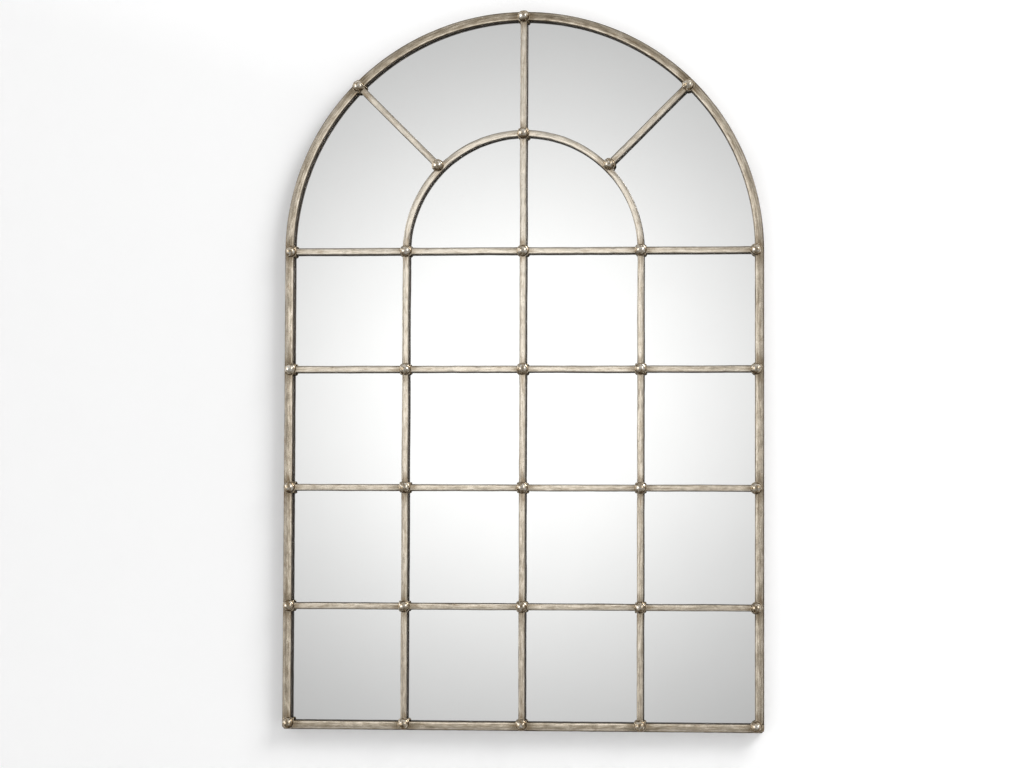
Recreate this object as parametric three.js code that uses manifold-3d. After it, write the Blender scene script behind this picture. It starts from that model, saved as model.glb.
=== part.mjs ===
// Arched window mirror: a welded steel frame with an arched head, a grille of glazing bars with a
// ball on every crossing, one sheet of mirror glass, a backing board and two hanging rings.
//
// Millimetres. X runs to the right as seen from the room, Y points at the wall and Z is up. The
// origin is the centre of the arch on the plane of the wall, level with the two wall hooks.

import * as THREE from "three";
import { mergeVertices } from "three/addons/utils/BufferGeometryUtils.js";
import Module from "manifold-3d";

const wasm = await Module();
wasm.setup();

// ---------------------------------------------------------------- driving dimensions

// The grid: four columns and four rows of panes, with two more rings of panes in the arch.
const paneWidth = 184; // between the centres of two upright bars
const paneHeight = 185; // between the centres of two cross bars

// Bars
const frameWidth = 14; // face of the outer frame
const muntinWidth = 10.5; // face of the glazing bars
const barDepth = 11; // every bar, from its front face back to the glass
const edgeChamfer = 1.2; // worn front edges
const cornerRadius = 4; // bottom corners of the frame
const weldGap = 0.3; // seam between two bars that are welded together

// Glass, board and the rim that holds them
const glassThickness = 4;
const boardThickness = 5;
const rimThickness = 3; // wall behind the frame's face that surrounds glass and board
const rebateClearance = 1; // around the edge of the glass and the board
const fitGap = 0.3; // between two sheets that lie on each other
const tabWidth = 16; // rim tabs that are bent over the board
const tabThickness = 1.2;
const tabReach = 12;

// Balls: spheres with a flat ground on the back, which sits on the face of a crossing
const ballDiameter = 18;
const ballFlatDepth = 7; // how much of the sphere is ground away
// The balls on the frame are set by hand, a little off the middle of the bar.
const ballInsetLeft = 2;
const ballInsetRight = 4.5;
const ballInsetBottom = 2.4;
const ballInsetArchRight = 4;
const ballOutsetInnerArch = 6; // the two balls at the foot of the spokes

// Hangers on the back
const hangerInset = 50; // from the middle of the stile to the middle of the strap
const strapWidth = 16;
const strapThickness = 1.2;
const strapEnd = 7; // from the last screw to the end of the strap
const ringWire = 2.8;
const ringRadius = 12; // to the middle of the wire
const ringClearance = 0.3; // between the wire and the strap's barrel
const ringToScrew = 2; // between the hanging ring and the first screw's head
const hangerClearance = 0.7; // from the barrel to the rear edge of the rim
const screwSpacing = 14;
const screwShank = 3.4;
const screwHead = 7;
const screwHeadHeight = 2.2;
const screwBite = 3.6; // depth of the screw in the board
const screwSlotWidth = 1;
const screwSlotLength = 4.2;
const screwSlotDepth = 1.1;
const screwClearance = 0.3;

// Rubber bumpers on the lower corners of the board
const bumperDiameter = 16;
const bumperEdge = 1; // bevel round the bumper's rear face
const bumperProud = 2; // how far the bumpers hold the rim off the wall
const bumperToTab = 6;

// Smoothness
const archSegments = 128; // facets in a full turn of the arches, a multiple of eight
const ballSegments = 18;
const ballRings = 7;
const wireSegments = 12;
const ringSegments = 32;
const roundSegments = 24;

// ---------------------------------------------------------------- places worked out from them

const columnSteps = [-2, -1, 0, 1, 2]; // upright lines of the grid, counted from the middle
const rowSteps = [0, 1, 2, 3, 4]; // cross lines, counted down from the springing of the arch
const edgeColumn = columnSteps.at(-1);
const bottomRow = rowSteps.at(-1);
const crossbarRows = rowSteps.slice(0, -1);
const sideCrossings = crossbarRows.slice(1); // where a cross bar passes the side uprights
const stileTabRows = [1, 3];
const railTabColumns = [-1, 1];

const archRadius = edgeColumn * paneWidth; // middle of the frame's face
const innerArchRadius = paneWidth;
const railHeight = -bottomRow * paneHeight; // middle of the bottom rail
const rightAngle = Math.PI / 2;
const spokeAngle = Math.PI / 4; // from the vertical

const frameHalf = frameWidth / 2;
const muntinHalf = muntinWidth / 2;

const barrelRadius = ringWire / 2 + ringClearance + strapThickness;
const boardRecess = 2 * barrelRadius + hangerClearance;

// Planes across the depth, from the wall to the room
const rimRear = -bumperProud;
const boardBack = rimRear - boardRecess;
const boardFront = boardBack - boardThickness;
const glassBack = boardFront - fitGap;
const glassFront = glassBack - glassThickness;
const barBack = glassFront - fitGap;
const barFront = barBack - barDepth;
const lapPlane = (barFront + barBack) / 2;

const rimInside = frameHalf - rimThickness; // from the middle of the frame's face outwards
const sheetOutset = rimInside - rebateClearance;

const stileX = archRadius;
const frameOutside = archRadius + frameHalf;
const openingHalf = archRadius - frameHalf; // inside of the stiles
const railTop = railHeight + frameHalf;
const railBottom = railHeight - frameHalf;

// The ring is level with its strap's barrel; turned up, it meets the hook at the origin's height.
const hangerX = stileX - hangerInset;
const ringAxisZ = -(ringRadius - ringWire / 2);
const firstScrew = ringRadius + ringWire / 2 + ringToScrew + screwHead / 2; // below the ring's axis
const screwDrops = [firstScrew, firstScrew + screwSpacing];
const strapDrop = firstScrew + screwSpacing + strapEnd;

const bumperFromRim = tabReach + bumperToTab + bumperDiameter / 2;
const bumperX = stileX + rimInside - bumperFromRim;
const bumperZ = railHeight - rimInside + bumperFromRim;

const beyond = 2 * frameWidth; // how far a cutting block runs past what it cuts

// ---------------------------------------------------------------- materials

const forgedSteel = new THREE.MeshStandardMaterial({ color: 0xb3a48e, roughness: 0.45, metalness: 0.85 });
const ballSteel = new THREE.MeshStandardMaterial({ color: 0xa0927a, roughness: 0.28, metalness: 0.9 });
const mirrorGlass = new THREE.MeshStandardMaterial({ color: 0xeef1f3, roughness: 0.03, metalness: 1 });
const hardboard = new THREE.MeshStandardMaterial({ color: 0x8a6b4c, roughness: 0.85, metalness: 0 });
const zincPlate = new THREE.MeshStandardMaterial({ color: 0xb8bcc0, roughness: 0.35, metalness: 0.9 });
const blackRubber = new THREE.MeshStandardMaterial({ color: 0x2a2a2a, roughness: 0.9, metalness: 0 });

// ---------------------------------------------------------------- solids

function solidOf(geometry) {
  geometry.deleteAttribute("normal");
  geometry.deleteAttribute("uv");
  const merged = mergeVertices(geometry);
  const mesh = new wasm.Mesh({
    numProp: 3,
    vertProperties: merged.attributes.position.array,
    triVerts: new Uint32Array(merged.index.array),
  });
  return new wasm.Manifold(mesh);
}

function geometryOf(solid) {
  const mesh = solid.getMesh();
  const geometry = new THREE.BufferGeometry();
  geometry.setAttribute("position", new THREE.BufferAttribute(mesh.vertProperties, 3));
  geometry.setIndex(new THREE.BufferAttribute(mesh.triVerts, 1));
  geometry.computeVertexNormals();
  return geometry;
}

function named(name, geometry, material) {
  const mesh = new THREE.Mesh(geometry, material);
  mesh.name = name;
  return mesh;
}

// A block between two limits on each axis, with its corners exactly on them.
function block([x0, x1], [y0, y1], [z0, z1]) {
  const geometry = new THREE.BoxGeometry();
  const corners = geometry.attributes.position;
  for (let i = 0; i < corners.count; i += 1) {
    const x = corners.getX(i) < 0 ? x0 : x1;
    const y = corners.getY(i) < 0 ? y0 : y1;
    const z = corners.getZ(i) < 0 ? z0 : z1;
    corners.setXYZ(i, x, y, z);
  }
  return geometry;
}

// A ring or disc about the Y axis; the profile is a list of [radius, y] that runs, on its outer
// side, from the room to the wall.
function turned(profile, segments) {
  const points = profile.map(([radius, y]) => new THREE.Vector2(radius, y));
  return new THREE.LatheGeometry(points, segments);
}

function circleProfile(radius, middle, segments) {
  const points = [];
  for (let i = 0; i <= segments; i += 1) {
    const angle = (2 * Math.PI * (i % segments)) / segments;
    points.push([middle + radius * Math.cos(angle), radius * Math.sin(angle)]);
  }
  return points;
}

function closed(profile) {
  return [...profile, profile[0]];
}

// A rod along X, about the X axis.
function rod(radius, from, to, segments) {
  const geometry = new THREE.CylinderGeometry(radius, radius, to - from, segments);
  return geometry.rotateZ(rightAngle).translate((from + to) / 2, 0, 0);
}

// ---------------------------------------------------------------- sections of the bars

// Both are lists of [across, y], with the front edges chamfered.
function muntinSection() {
  return [
    [-muntinHalf, barBack],
    [muntinHalf, barBack],
    [muntinHalf, barFront + edgeChamfer],
    [muntinHalf - edgeChamfer, barFront],
    [edgeChamfer - muntinHalf, barFront],
    [-muntinHalf, barFront + edgeChamfer],
  ];
}

// The frame's face bar with its rim on the outer side, which is the positive one.
function frameSection() {
  return [
    [-frameHalf, barBack],
    [rimInside, barBack],
    [rimInside, rimRear],
    [frameHalf, rimRear],
    [frameHalf, barFront + edgeChamfer],
    [frameHalf - edgeChamfer, barFront],
    [edgeChamfer - frameHalf, barFront],
    [-frameHalf, barFront + edgeChamfer],
  ];
}

function extruded(section, length) {
  const shape = new THREE.Shape(section.map(([across, y]) => new THREE.Vector2(across, y)));
  return new THREE.ExtrudeGeometry(shape, { depth: length, bevelEnabled: false });
}

// An upright bar between two heights, with its section's middle at x.
function upright(section, x, bottom, top) {
  return extruded(section, top - bottom).translate(x, 0, bottom);
}

// A cross bar between two sides. The section's positive side ends up below.
function crossbar(section, z, left, right) {
  return extruded(section, right - left).rotateY(rightAngle).translate(left, 0, z);
}

// A full ring of a section; the section's positive side is the outer one.
function ring(section, radius) {
  const profile = section.map(([across, y]) => [radius + across, y]).reverse();
  return turned(closed(profile), archSegments);
}

// The space between two radii through the whole depth of the bars, to trim what ends on an arch.
function annulus(inner, outer) {
  const front = barFront - beyond;
  const profile = [
    [inner, front],
    [outer, front],
    [outer, rimRear],
    [inner, rimRear],
  ];
  return turned(closed(profile), archSegments);
}

// Everything of the bars that lies above a height.
function above(z) {
  const reach = archRadius + beyond;
  return block([-reach, reach], [barFront - beyond, rimRear + beyond], [z, reach]);
}

// ---------------------------------------------------------------- outer frame

// A tab reaches in from the rim, just behind the board. It is drawn at the top of the arch.
function tabAtCrown() {
  const rimWall = archRadius + rimInside;
  return block(
    [-tabWidth / 2, tabWidth / 2],
    [boardBack + fitGap, boardBack + fitGap + tabThickness],
    [rimWall - tabReach, rimWall + rimThickness / 2],
  );
}

function makeArch() {
  let arch = solidOf(ring(frameSection(), archRadius)).intersect(solidOf(above(weldGap / 2)));
  for (const angle of [-spokeAngle, 0, spokeAngle]) {
    arch = arch.add(solidOf(tabAtCrown().rotateY(angle)));
  }
  return geometryOf(arch);
}

// side is -1 for the left stile and 1 for the right one.
function makeStile(side) {
  const section = frameSection().map(([across, y]) => [side * across, y]);
  const bottom = railTop + weldGap;
  const top = -weldGap / 2;
  let stile = solidOf(upright(section, side * stileX, bottom, top));
  for (const row of stileTabRows) {
    const rimWall = side * (stileX + rimInside);
    const middle = -row * paneHeight;
    const ends = [rimWall - side * tabReach, rimWall + (side * rimThickness) / 2];
    const tab = block(
      ends.sort((a, b) => a - b),
      [boardBack + fitGap, boardBack + fitGap + tabThickness],
      [middle - tabWidth / 2, middle + tabWidth / 2],
    );
    stile = stile.add(solidOf(tab));
  }
  return geometryOf(stile);
}

function makeBottomRail() {
  const half = frameOutside;
  let rail = solidOf(crossbar(frameSection(), railHeight, -half, half));
  // The rim turns up at both ends to meet the rims of the stiles.
  for (const side of [-1, 1]) {
    const ends = [side * (stileX + rimInside), side * half].sort((a, b) => a - b);
    const heights = [railBottom, railTop - weldGap];
    rail = rail.add(solidOf(block(ends, [barBack - edgeChamfer, rimRear], heights)));
  }
  for (const step of railTabColumns) {
    const middle = step * paneWidth;
    const tab = block(
      [middle - tabWidth / 2, middle + tabWidth / 2],
      [boardBack + fitGap, boardBack + fitGap + tabThickness],
      [railHeight - rimInside - rimThickness / 2, railHeight - rimInside + tabReach],
    );
    rail = rail.add(solidOf(tab));
  }
  return geometryOf(rail.intersect(solidOf(railOutline())));
}

// The rail's front outline with its two rounded corners, through the whole depth.
function railOutline() {
  const half = frameOutside;
  const top = railTop + beyond;
  const outline = new THREE.Shape();
  outline.moveTo(half, top);
  outline.lineTo(-half, top);
  outline.lineTo(-half, railBottom + cornerRadius);
  outline.absarc(-half + cornerRadius, railBottom + cornerRadius, cornerRadius, Math.PI, 3 * rightAngle);
  outline.lineTo(half - cornerRadius, railBottom);
  outline.absarc(half - cornerRadius, railBottom + cornerRadius, cornerRadius, -rightAngle, 0);
  const depth = rimRear - barFront + 2 * beyond;
  const slab = new THREE.ExtrudeGeometry(outline, { depth, bevelEnabled: false, curveSegments: 4 });
  return slab.rotateX(rightAngle).translate(0, rimRear + beyond, 0);
}

// ---------------------------------------------------------------- glazing bars

// Where two bars cross, the upright keeps its front half and the cross bar its rear half.
const lapHalf = muntinHalf + weldGap;

function rearNotch(x, z) {
  return block([x - beyond, x + beyond], [lapPlane, barBack + beyond], [z - lapHalf, z + lapHalf]);
}

function frontNotch(x, z) {
  return block([x - lapHalf, x + lapHalf], [barFront - beyond, lapPlane], [z - beyond, z + beyond]);
}

function cutAll(solid, cutters) {
  return cutters.reduce((rest, cutter) => rest.subtract(solidOf(cutter)), solid);
}

// The side uprights stop under the springing bar, where the inner arch carries on.
function makeSideUpright(side) {
  const x = side * paneWidth;
  const bar = upright(muntinSection(), x, railTop + weldGap, -muntinHalf - weldGap);
  const notches = sideCrossings.map((row) => rearNotch(x, -row * paneHeight));
  return geometryOf(cutAll(solidOf(bar), notches));
}

// The middle upright runs on through both arches' panes to the crown.
function makeMiddleUpright() {
  const bar = upright(muntinSection(), 0, railTop + weldGap, archRadius);
  const crossings = [...crossbarRows.map((row) => -row * paneHeight), innerArchRadius];
  const notched = cutAll(
    solidOf(bar),
    crossings.map((z) => rearNotch(0, z)),
  );
  const arch = solidOf(annulus(openingHalf - weldGap, archRadius + beyond));
  return geometryOf(notched.subtract(arch.intersect(solidOf(above(0)))));
}

function makeCrossbar(row) {
  const z = -row * paneHeight;
  const half = openingHalf - weldGap;
  const crossings = sideCrossings.includes(row) ? columnSteps.slice(1, -1) : [0];
  const bar = crossbar(muntinSection(), z, -half, half);
  const notches = crossings.map((step) => frontNotch(step * paneWidth, z));
  return geometryOf(cutAll(solidOf(bar), notches));
}

function makeInnerArch() {
  const fullRing = solidOf(ring(muntinSection(), innerArchRadius));
  const arch = fullRing.intersect(solidOf(above(muntinHalf + weldGap)));
  return geometryOf(cutAll(arch, [frontNotch(0, innerArchRadius)]));
}

// side is -1 for the spoke that leans left.
function makeSpoke(side) {
  const bar = upright(muntinSection(), 0, innerArchRadius, archRadius);
  const between = annulus(innerArchRadius + muntinHalf + weldGap, openingHalf - weldGap);
  const trimmed = solidOf(bar).intersect(solidOf(between));
  return geometryOf(trimmed).rotateY(side * spokeAngle);
}

// ---------------------------------------------------------------- balls

// The flat lies in the plane y = 0 and the ball faces the room.
function ballGeometry() {
  const radius = ballDiameter / 2;
  const middle = ballFlatDepth - radius;
  const flatRadius = Math.sqrt(radius * radius - middle * middle);
  const flatAngle = Math.atan2(flatRadius, -middle); // from the pole that faces the wall
  const profile = [[0, ballFlatDepth - ballDiameter]];
  for (let i = 1; i < ballRings; i += 1) {
    const angle = flatAngle + ((Math.PI - flatAngle) * (ballRings - i)) / ballRings;
    profile.push([radius * Math.sin(angle), middle + radius * Math.cos(angle)]);
  }
  profile.push([flatRadius, 0], [0, 0]);
  return turned(profile, ballSegments);
}

// Name and place [x, z] of every ball.
function ballPlaces() {
  const places = [];
  for (const row of rowSteps) {
    for (const column of columnSteps) {
      let x = column * paneWidth;
      let z = -row * paneHeight;
      if (column === -edgeColumn) x += ballInsetLeft;
      if (column === edgeColumn) x -= ballInsetRight;
      if (row === bottomRow) z += ballInsetBottom;
      places.push([`ball_row${row + 1}_column${column + edgeColumn + 1}`, x, z]);
    }
  }
  const onRay = (radius, angle) => [radius * Math.sin(angle), radius * Math.cos(angle)];
  places.push(["ball_crown", ...onRay(archRadius, 0)]);
  places.push(["ball_arch_left", ...onRay(archRadius, -spokeAngle)]);
  places.push(["ball_arch_right", ...onRay(archRadius - ballInsetArchRight, spokeAngle)]);
  places.push(["ball_inner_crown", ...onRay(innerArchRadius, 0)]);
  places.push(["ball_inner_left", ...onRay(innerArchRadius + ballOutsetInnerArch, -spokeAngle)]);
  places.push(["ball_inner_right", ...onRay(innerArchRadius + ballOutsetInnerArch, spokeAngle)]);
  return places;
}

// ---------------------------------------------------------------- glass and board

// Both sheets have the outline of the rebate: square below, half a disc above.
function sheet(back, thickness) {
  const half = stileX + sheetOutset;
  const bottom = railHeight - sheetOutset;
  const outline = new THREE.Shape();
  outline.moveTo(-half, bottom);
  outline.lineTo(half, bottom);
  outline.absarc(0, 0, half, 0, Math.PI);
  const options = { depth: thickness, bevelEnabled: false, curveSegments: archSegments / 4 };
  return new THREE.ExtrudeGeometry(outline, options).rotateX(rightAngle).translate(0, back, 0);
}

// A round hole or plug along Y between two depths.
function plug(radius, from, to) {
  const geometry = new THREE.CylinderGeometry(radius, radius, to - from, roundSegments);
  return geometry.translate(0, (from + to) / 2, 0);
}

function makeBoard() {
  const holes = [];
  for (const side of [-1, 1]) {
    for (const drop of screwDrops) {
      const radius = screwShank / 2 + screwClearance;
      const hole = plug(radius, boardBack - screwBite - screwClearance, boardBack + beyond);
      holes.push(hole.translate(side * hangerX, 0, ringAxisZ - drop));
    }
  }
  return geometryOf(cutAll(solidOf(sheet(boardBack, boardThickness)), holes));
}

// ---------------------------------------------------------------- hangers

// Drawn with the board's back at y = 0 and the ring's axis at z = 0.
function strapGeometry() {
  const half = strapWidth / 2;
  const plate = solidOf(block([-half, half], [0, strapThickness], [-strapDrop, 0]));
  const barrel = solidOf(rod(barrelRadius, -half, half, roundSegments).translate(0, barrelRadius, 0));
  const boreRadius = ringWire / 2 + ringClearance;
  const bore = rod(boreRadius, -strapWidth, strapWidth, roundSegments).translate(0, barrelRadius, 0);
  const holes = screwDrops.map((drop) =>
    plug(screwShank / 2 + screwClearance, -beyond, beyond).translate(0, 0, -drop),
  );
  return geometryOf(cutAll(plate.add(barrel), [bore, ...holes]));
}

// A D of round wire: a straight length in the barrel and half a circle below it.
function ringGeometry() {
  const wire = ringWire / 2;
  const circle = solidOf(turned(circleProfile(wire, ringRadius, wireSegments), ringSegments));
  const below = solidOf(block([-beyond, beyond], [-beyond, beyond], [-beyond, 0]));
  const straight = solidOf(rod(wire, -ringRadius - wire, ringRadius + wire, wireSegments));
  return geometryOf(circle.intersect(below).add(straight));
}

// A pan-head screw with a crossed slot, driven towards the room; the strap's face is y = 0.
function screwGeometry() {
  const shank = screwShank / 2;
  const head = screwHead / 2;
  const profile = [
    [0, -strapThickness - screwBite],
    [shank, -strapThickness - screwBite + shank],
    [shank, 0],
    [head, 0],
    [head, screwHeadHeight / 2],
    [head * 0.7, screwHeadHeight],
    [0, screwHeadHeight],
  ];
  const slotDepth = [screwHeadHeight - screwSlotDepth, screwHeadHeight + beyond];
  const along = [-screwSlotLength / 2, screwSlotLength / 2];
  const across = [-screwSlotWidth / 2, screwSlotWidth / 2];
  const slots = [block(along, slotDepth, across), block(across, slotDepth, along)];
  return geometryOf(cutAll(solidOf(turned(profile, roundSegments)), slots));
}

function makeHanger(side, label) {
  const hanger = new THREE.Group();
  hanger.position.set(side * hangerX, boardBack, ringAxisZ);
  hanger.add(named(`hanging_strap_${label}`, strapGeometry(), zincPlate));
  const wireRing = named(`hanging_ring_${label}`, ringGeometry(), zincPlate);
  wireRing.position.set(0, barrelRadius, 0);
  hanger.add(wireRing);
  screwDrops.forEach((drop, i) => {
    const screw = named(`strap_screw_${label}_${i + 1}`, screwGeometry(), zincPlate);
    screw.position.set(0, strapThickness, -drop);
    hanger.add(screw);
  });
  return hanger;
}

// ---------------------------------------------------------------- bumpers

function bumperGeometry() {
  const radius = bumperDiameter / 2;
  const profile = [
    [0, boardBack],
    [radius, boardBack],
    [radius, -bumperEdge],
    [radius - bumperEdge, 0],
    [0, 0],
  ];
  return turned(profile, roundSegments);
}

// ---------------------------------------------------------------- the assembly

const mirror = new THREE.Group();

const frame = new THREE.Group();
frame.add(named("frame_arch", makeArch(), forgedSteel));
frame.add(named("frame_stile_left", makeStile(-1), forgedSteel));
frame.add(named("frame_stile_right", makeStile(1), forgedSteel));
frame.add(named("frame_bottom_rail", makeBottomRail(), forgedSteel));
mirror.add(frame);

const grille = new THREE.Group();
grille.add(named("upright_bar_left", makeSideUpright(-1), forgedSteel));
grille.add(named("upright_bar_middle", makeMiddleUpright(), forgedSteel));
grille.add(named("upright_bar_right", makeSideUpright(1), forgedSteel));
for (const row of crossbarRows) {
  grille.add(named(`cross_bar_${row + 1}`, makeCrossbar(row), forgedSteel));
}
grille.add(named("inner_arch", makeInnerArch(), forgedSteel));
grille.add(named("spoke_left", makeSpoke(-1), forgedSteel));
grille.add(named("spoke_right", makeSpoke(1), forgedSteel));
mirror.add(grille);

const balls = new THREE.Group();
balls.position.y = barFront;
const ball = ballGeometry();
for (const [name, x, z] of ballPlaces()) {
  const mesh = named(name, ball, ballSteel);
  mesh.position.set(x, 0, z);
  balls.add(mesh);
}
mirror.add(balls);

mirror.add(named("mirror_glass", sheet(glassBack, glassThickness), mirrorGlass));
mirror.add(named("backing_board", makeBoard(), hardboard));

for (const [side, label] of [[-1, "left"], [1, "right"]]) {
  mirror.add(makeHanger(side, label));
  const bumper = named(`wall_bumper_${label}`, bumperGeometry(), blackRubber);
  bumper.position.set(side * bumperX, 0, bumperZ);
  mirror.add(bumper);
}

export default mirror;
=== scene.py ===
"""Looks of the arched window mirror: forged bars, worn balls, welds, mirror glass and the back.

Metres, in the frame of the CAD model: X to the right as seen from the room, Y at the wall, Z up.
The origin is the centre of the arch on the plane of the wall.
"""

import math

import bmesh
import bpy
import numpy as np
from mathutils import Matrix, Vector, noise


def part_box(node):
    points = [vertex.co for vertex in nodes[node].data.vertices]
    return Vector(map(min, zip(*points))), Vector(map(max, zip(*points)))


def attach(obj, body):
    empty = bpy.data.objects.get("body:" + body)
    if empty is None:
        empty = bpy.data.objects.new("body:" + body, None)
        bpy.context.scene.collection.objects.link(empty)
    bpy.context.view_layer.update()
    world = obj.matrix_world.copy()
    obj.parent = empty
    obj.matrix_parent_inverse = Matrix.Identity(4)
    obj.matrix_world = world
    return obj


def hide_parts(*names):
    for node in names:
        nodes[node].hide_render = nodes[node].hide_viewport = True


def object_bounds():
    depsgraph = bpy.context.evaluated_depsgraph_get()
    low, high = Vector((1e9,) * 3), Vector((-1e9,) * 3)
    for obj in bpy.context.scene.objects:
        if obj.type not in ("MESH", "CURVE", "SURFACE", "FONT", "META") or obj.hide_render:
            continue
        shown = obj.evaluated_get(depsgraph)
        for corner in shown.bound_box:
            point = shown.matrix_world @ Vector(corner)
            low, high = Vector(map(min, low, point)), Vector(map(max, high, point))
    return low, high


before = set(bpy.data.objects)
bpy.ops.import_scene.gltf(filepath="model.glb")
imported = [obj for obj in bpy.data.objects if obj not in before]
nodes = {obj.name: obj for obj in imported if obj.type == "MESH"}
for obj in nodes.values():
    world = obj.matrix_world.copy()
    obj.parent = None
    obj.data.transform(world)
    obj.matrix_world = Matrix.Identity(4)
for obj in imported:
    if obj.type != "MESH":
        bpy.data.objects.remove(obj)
cad_low, cad_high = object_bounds()

MM = 0.001

# ---------------- dimensions, as in the CAD model

PANE_WIDTH = 184 * MM
PANE_HEIGHT = 185 * MM
FRAME_HALF = 7 * MM
BAR_HALF = 5.25 * MM
BAR_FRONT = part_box("cross_bar_2")[0].y
BAR_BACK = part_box("cross_bar_2")[1].y
LAP_DEPTH = 5.5 * MM
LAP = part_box("upright_bar_left")[0].y + LAP_DEPTH  # crossing bars share their depth here
RIM_REAR = -2 * MM
RIM_INSIDE = 4 * MM  # from the middle of the frame's face to the inside of the rim
RIM_WALL = 3 * MM
WELD_GAP = 0.3 * MM
CORNER_RADIUS = 4 * MM
BOARD_BACK = -8.5 * MM
TAB_WIDTH = 16 * MM
TAB_THICKNESS = 1.2 * MM
TAB_REACH = 12 * MM
TAB_CORNER = 3.5 * MM
TAB_FOOT = 1.2 * MM  # how far a tab reaches into the rim

ARCH_RADIUS = 2 * PANE_WIDTH
INNER_RADIUS = PANE_WIDTH
RAIL_Z = -4 * PANE_HEIGHT
OPENING = ARCH_RADIUS - FRAME_HALF
OUTSIDE = ARCH_RADIUS + FRAME_HALF

BALL_RADIUS = 9 * MM
BALL_MIDDLE = BAR_FRONT - 2 * MM  # depth of the balls' centres

RING_AXIS_Y = -5.6 * MM
RING_AXIS_Z = -10.6 * MM
WIRE_RADIUS = 1.4 * MM
RING_RADIUS = 12 * MM
STRAP_HALF = 8 * MM
STRAP_THICKNESS = 1.2 * MM
STRAP_DROP = 39.9 * MM  # from the ring's axis to the lower end
STRAP_END_RADIUS = 6 * MM
STRAP_CURL = 305  # degrees round the wire
BARREL_RADIUS = WIRE_RADIUS + 0.3 * MM
HANGER_X = ARCH_RADIUS - 50 * MM

# ---------------- shader helpers


class Graph:
    """A material's or world's nodes, built by short calls that return output sockets.

    A float or a colour can stand wherever a socket is expected.
    """

    def __init__(self, owner):
        owner.use_nodes = True
        self.tree = owner.node_tree
        self.tree.nodes.clear()

    def add(self, kind, **settings):
        node = self.tree.nodes.new(kind)
        for key, value in settings.items():
            setattr(node, key, value)
        return node

    def feed(self, socket, value):
        if isinstance(value, bpy.types.NodeSocket):
            self.tree.links.new(value, socket)
        elif isinstance(value, tuple) and len(value) == 3 and len(socket.default_value) == 4:
            socket.default_value = (*value, 1.0)
        else:
            socket.default_value = value

    def math(self, operation, a, b=0.0, clamp=False):
        node = self.add("ShaderNodeMath", operation=operation, use_clamp=clamp)
        self.feed(node.inputs[0], a)
        self.feed(node.inputs[1], b)
        return node.outputs[0]

    def plus(self, a, b, clamp=False):
        return self.math("ADD", a, b, clamp)

    def less(self, a, b, clamp=False):
        return self.math("SUBTRACT", a, b, clamp)

    def times(self, a, b):
        return self.math("MULTIPLY", a, b)

    def bell(self, *axes):
        """1 in the middle, falling off round it. Each axis is (distance, spread)."""
        parts = [self.math("POWER", self.math("DIVIDE", *axis), 2.0) for axis in axes]
        return self.math("EXPONENT", self.times(self.plus(*parts), -0.5))

    def vary(self, tone, *textures):
        """tone, moved up and down by textures. Each is (texture, share)."""
        for texture, share in textures:
            tone = self.plus(tone, self.times(self.less(texture, 0.5), share))
        return tone

    def weigh(self, first, *others):
        """A sum of textures. Each is (texture, share)."""
        total = self.times(*first)
        for other in others:
            total = self.plus(total, self.times(*other))
        return total

    def parts(self, vector):
        node = self.add("ShaderNodeSeparateXYZ")
        self.feed(node.inputs[0], vector)
        return node.outputs

    def remap(self, value, low, high, to_low=0.0, to_high=1.0, smooth=False):
        node = self.add("ShaderNodeMapRange", clamp=True)
        node.interpolation_type = "SMOOTHSTEP" if smooth else "LINEAR"
        for i, x in enumerate((value, low, high, to_low, to_high)):
            self.feed(node.inputs[i], x)
        return node.outputs[0]

    def attribute(self, name, output="Fac"):
        return self.add("ShaderNodeAttribute", attribute_name=name).outputs[output]

    def place(self):
        return self.add("ShaderNodeTexCoord").outputs["Object"]

    def stretch(self, vector, factors):
        node = self.add("ShaderNodeVectorMath", operation="MULTIPLY")
        self.feed(node.inputs[0], vector)
        self.feed(node.inputs[1], factors)
        return node.outputs[0]

    def texture(self, node, vector, output, **inputs):
        self.feed(node.inputs["Vector"], vector)
        for key, value in inputs.items():
            node.inputs[key].default_value = value
        return node.outputs[output]

    def noise(self, vector, scale, detail, roughness, distortion=0.0):
        grain = {"Detail": detail, "Roughness": roughness, "Distortion": distortion}
        return self.texture(self.add("ShaderNodeTexNoise"), vector, 0, Scale=scale, **grain)

    def cells(self, vector, scale):
        return self.texture(self.add("ShaderNodeTexVoronoi"), vector, "Distance", Scale=scale)

    def ramp(self, value, stops):
        """Each stop is (position, colour on screen)."""
        node = self.add("ShaderNodeValToRGB")
        elements = node.color_ramp.elements
        while len(elements) < len(stops):
            elements.new(0.5)
        for element, (position, colour) in zip(elements, stops):
            element.position = position
            element.color = (*paint(*colour), 1.0)
        self.feed(node.inputs[0], value)
        return node.outputs[0]

    def mix(self, share, a, b, blend="MIX"):
        node = self.add("ShaderNodeMix", data_type="RGBA", blend_type=blend)
        self.feed(node.inputs[0], share)
        self.feed(node.inputs[6], a)
        self.feed(node.inputs[7], b)
        return node.outputs[2]

    def bump(self, height, strength, distance):
        node = self.add("ShaderNodeBump")
        node.inputs["Strength"].default_value = strength
        node.inputs["Distance"].default_value = distance
        self.feed(node.inputs["Height"], height)
        return node.outputs[0]

    def surface(self, **inputs):
        shader = self.add("ShaderNodeBsdfPrincipled")
        for key, value in inputs.items():
            self.feed(shader.inputs[key.replace("_", " ")], value)
        self.feed(self.add("ShaderNodeOutputMaterial").inputs[0], shader.outputs[0])


def paint(r, g, b):
    """A colour as seen on screen, from 0 to 255, as the linear light that a shader wants."""
    shares = [c / 255 for c in (r, g, b)]
    return tuple(c / 12.92 if c <= 0.04045 else ((c + 0.055) / 1.055) ** 2.4 for c in shares)


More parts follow.
